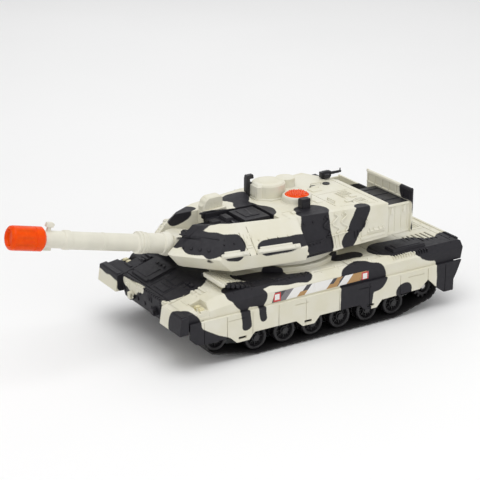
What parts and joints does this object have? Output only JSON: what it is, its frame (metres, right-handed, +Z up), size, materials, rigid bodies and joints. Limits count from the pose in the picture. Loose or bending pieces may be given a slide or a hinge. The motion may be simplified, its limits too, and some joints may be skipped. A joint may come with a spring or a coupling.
{
  "type": "radio controlled tank",
  "caption": "Toy battle tank with a turning turret, tipping gun with a light at its muzzle, side skirts and geared rubber tracks.",
  "frame": {"origin": "on the ground, under the middle of the whole model from the muzzle to the rear plate", "axes": "+X forward along the gun, +Y to the model's left, +Z up"},
  "size_m": [0.373, 0.134, 0.1172],
  "materials": {
    "camouflage_shell": "satin moulded, cream with sprayed dark charcoal camouflage patches",
    "dark_chassis": "satin moulded charcoal plastic",
    "black_rubber": "matt moulded rubber",
    "black_wheel": "satin moulded black plastic",
    "orange_lens": "translucent orange, glossy",
    "steel_pin": "drawn steel",
    "gear_nylon": "greased natural nylon",
    "grey_case": "moulded grey plastic",
    "circuit_green": "lacquered board",
    "battery_wrap": "heat-shrunk film",
    "printed_film": "printed self-adhesive film",
    "clear_led": "clear epoxy"
  },
  "bodies": {
    "hull": {"lower_hull": "dark_chassis", "upper_hull": "camouflage_shell", "left_skirt": "camouflage_shell", "right_skirt": "camouflage_shell", "left_track": "black_rubber", "right_track": "black_rubber", "wheel_axles": "steel_pin", "side_stickers": "printed_film", "headlamps": "camouflage_shell", "tow_hooks": "camouflage_shell", "case_screws": "steel_pin", "battery_door": "dark_chassis", "battery_pack": "battery_wrap", "circuit_board": "circuit_green", "speaker": "grey_case", "switch_case": "dark_chassis", "gearbox_cases": "grey_case", "drive_motors": "steel_pin", "turret_motor": "steel_pin"},
    "turret": {"turret_shell": "camouflage_shell", "turret_base": "dark_chassis", "turret_gear": "gear_nylon", "trunnion_pin": "steel_pin", "commander_cupola": "camouflage_shell", "commander_periscope": "dark_chassis", "loader_hatch": "camouflage_shell", "hatch_lens": "orange_lens", "lens_led": "clear_led", "gunner_sight": "camouflage_shell", "stowage_basket": "camouflage_shell", "stowage_bin": "camouflage_shell"},
    "gun": {"mantlet": "camouflage_shell", "gun_barrel": "camouflage_shell", "muzzle_cap": "orange_lens", "muzzle_led": "clear_led"},
    "machine_gun": {"machine_gun": "dark_chassis"},
    "switch_slider": {"switch_slider": "dark_chassis"},
    "turret_pinion": {"turret_pinion": "gear_nylon"},
    "left_sprocket": {"left_drive_shaft": "gear_nylon", "left_sprocket": "black_wheel"},
    "left_reduction_gear": {"left_reduction_gear": "gear_nylon"},
    "left_motor_pinion": {"left_motor_pinion": "gear_nylon"},
    "left_wheel_1": {"left_wheel_1": "black_wheel"},
    "left_wheel_2": {"left_wheel_2": "black_wheel"},
    "left_wheel_3": {"left_wheel_3": "black_wheel"},
    "left_wheel_4": {"left_wheel_4": "black_wheel"},
    "left_wheel_5": {"left_wheel_5": "black_wheel"},
    "left_wheel_6": {"left_wheel_6": "black_wheel"},
    "left_idler": {"left_idler": "black_wheel"},
    "right_sprocket": {"right_drive_shaft": "gear_nylon", "right_sprocket": "black_wheel"},
    "right_reduction_gear": {"right_reduction_gear": "gear_nylon"},
    "right_motor_pinion": {"right_motor_pinion": "gear_nylon"},
    "right_wheel_1": {"right_wheel_1": "black_wheel"},
    "right_wheel_2": {"right_wheel_2": "black_wheel"},
    "right_wheel_3": {"right_wheel_3": "black_wheel"},
    "right_wheel_4": {"right_wheel_4": "black_wheel"},
    "right_wheel_5": {"right_wheel_5": "black_wheel"},
    "right_wheel_6": {"right_wheel_6": "black_wheel"},
    "right_idler": {"right_idler": "black_wheel"}
  },
  "joints": [
    {"name": "turret_yaw", "type": "hinge", "parent": "hull", "child": "turret", "pos_m": [-0.0438, 0, 0.06], "axis": [0, 0, 1], "continuous": true},
    {"name": "gun_elevation", "type": "hinge", "parent": "turret", "child": "gun", "pos_m": [0.0362, 0, 0.074], "axis": [0, -1, 0], "range_deg": [-13, 7]},
    {"name": "machine_gun_swivel", "type": "hinge", "parent": "turret", "child": "machine_gun", "pos_m": [-0.1078, -0.027, 0.0955], "axis": [0, 0, 1], "range_deg": [-80, 80]},
    {"name": "power_switch", "type": "slide", "parent": "hull", "child": "switch_slider", "axis": [1, 0, 0], "range_m": [0, 0.0045]},
    {"name": "turret_pinion_spin", "type": "hinge", "parent": "hull", "child": "turret_pinion", "pos_m": [-0.0041, 0, 0.048], "axis": [0, 0, 1], "continuous": true},
    {"name": "left_drive", "type": "hinge", "parent": "hull", "child": "left_sprocket", "pos_m": [-0.1483, 0.0538, 0.0205], "axis": [0, 1, 0], "continuous": true},
    {"name": "left_reduction_gear_spin", "type": "hinge", "parent": "hull", "child": "left_reduction_gear", "pos_m": [-0.1349, 0.034, 0.0205], "axis": [0, 1, 0], "continuous": true},
    {"name": "left_motor_pinion_spin", "type": "hinge", "parent": "hull", "child": "left_motor_pinion", "pos_m": [-0.1215, 0.034, 0.0205], "axis": [0, 1, 0], "continuous": true},
    {"name": "left_wheel_1_spin", "type": "hinge", "parent": "hull", "child": "left_wheel_1", "pos_m": [0.0132, 0.0538, 0.0127], "axis": [0, 1, 0], "continuous": true},
    {"name": "left_wheel_2_spin", "type": "hinge", "parent": "hull", "child": "left_wheel_2", "pos_m": [-0.013, 0.0538, 0.0127], "axis": [0, 1, 0], "continuous": true},
    {"name": "left_wheel_3_spin", "type": "hinge", "parent": "hull", "child": "left_wheel_3", "pos_m": [-0.0392, 0.0538, 0.0127], "axis": [0, 1, 0], "continuous": true},
    {"name": "left_wheel_4_spin", "type": "hinge", "parent": "hull", "child": "left_wheel_4", "pos_m": [-0.0654, 0.0538, 0.0127], "axis": [0, 1, 0], "continuous": true},
    {"name": "left_wheel_5_spin", "type": "hinge", "parent": "hull", "child": "left_wheel_5", "pos_m": [-0.0916, 0.0538, 0.0127], "axis": [0, 1, 0], "continuous": true},
    {"name": "left_wheel_6_spin", "type": "hinge", "parent": "hull", "child": "left_wheel_6", "pos_m": [-0.1178, 0.0538, 0.0127], "axis": [0, 1, 0], "continuous": true},
    {"name": "left_idler_spin", "type": "hinge", "parent": "hull", "child": "left_idler", "pos_m": [0.0487, 0.0538, 0.0198], "axis": [0, 1, 0], "continuous": true},
    {"name": "right_drive", "type": "hinge", "parent": "hull", "child": "right_sprocket", "pos_m": [-0.1483, -0.0538, 0.0205], "axis": [0, 1, 0], "continuous": true},
    {"name": "right_reduction_gear_spin", "type": "hinge", "parent": "hull", "child": "right_reduction_gear", "pos_m": [-0.1349, -0.034, 0.0205], "axis": [0, 1, 0], "continuous": true},
    {"name": "right_motor_pinion_spin", "type": "hinge", "parent": "hull", "child": "right_motor_pinion", "pos_m": [-0.1215, -0.034, 0.0205], "axis": [0, 1, 0], "continuous": true},
    {"name": "right_wheel_1_spin", "type": "hinge", "parent": "hull", "child": "right_wheel_1", "pos_m": [0.0132, -0.0538, 0.0127], "axis": [0, 1, 0], "continuous": true},
    {"name": "right_wheel_2_spin", "type": "hinge", "parent": "hull", "child": "right_wheel_2", "pos_m": [-0.013, -0.0538, 0.0127], "axis": [0, 1, 0], "continuous": true},
    {"name": "right_wheel_3_spin", "type": "hinge", "parent": "hull", "child": "right_wheel_3", "pos_m": [-0.0392, -0.0538, 0.0127], "axis": [0, 1, 0], "continuous": true},
    {"name": "right_wheel_4_spin", "type": "hinge", "parent": "hull", "child": "right_wheel_4", "pos_m": [-0.0654, -0.0538, 0.0127], "axis": [0, 1, 0], "continuous": true},
    {"name": "right_wheel_5_spin", "type": "hinge", "parent": "hull", "child": "right_wheel_5", "pos_m": [-0.0916, -0.0538, 0.0127], "axis": [0, 1, 0], "continuous": true},
    {"name": "right_wheel_6_spin", "type": "hinge", "parent": "hull", "child": "right_wheel_6", "pos_m": [-0.1178, -0.0538, 0.0127], "axis": [0, 1, 0], "continuous": true},
    {"name": "right_idler_spin", "type": "hinge", "parent": "hull", "child": "right_idler", "pos_m": [0.0487, -0.0538, 0.0198], "axis": [0, 1, 0], "continuous": true}
  ],
  "couplings": [
    {"joint": "turret_pinion_spin", "follows": "turret_yaw", "ratio": -5},
    {"joint": "left_reduction_gear_spin", "follows": "left_drive", "ratio": -2.5},
    {"joint": "left_motor_pinion_spin", "follows": "left_drive", "ratio": 6.25},
    {"joint": "left_wheel_1_spin", "follows": "left_drive", "ratio": 0.9804},
    {"joint": "left_wheel_2_spin", "follows": "left_drive", "ratio": 0.9804},
    {"joint": "left_wheel_3_spin", "follows": "left_drive", "ratio": 0.9804},
    {"joint": "left_wheel_4_spin", "follows": "left_drive", "ratio": 0.9804},
    {"joint": "left_wheel_5_spin", "follows": "left_drive", "ratio": 0.9804},
    {"joint": "left_wheel_6_spin", "follows": "left_drive", "ratio": 0.9804},
    {"joint": "left_idler_spin", "follows": "left_drive", "ratio": 1.0101},
    {"joint": "right_reduction_gear_spin", "follows": "right_drive", "ratio": -2.5},
    {"joint": "right_motor_pinion_spin", "follows": "right_drive", "ratio": 6.25},
    {"joint": "right_wheel_1_spin", "follows": "right_drive", "ratio": 0.9804},
    {"joint": "right_wheel_2_spin", "follows": "right_drive", "ratio": 0.9804},
    {"joint": "right_wheel_3_spin", "follows": "right_drive", "ratio": 0.9804},
    {"joint": "right_wheel_4_spin", "follows": "right_drive", "ratio": 0.9804},
    {"joint": "right_wheel_5_spin", "follows": "right_drive", "ratio": 0.9804},
    {"joint": "right_wheel_6_spin", "follows": "right_drive", "ratio": 0.9804},
    {"joint": "right_idler_spin", "follows": "right_drive", "ratio": 1.0101}
  ]
}
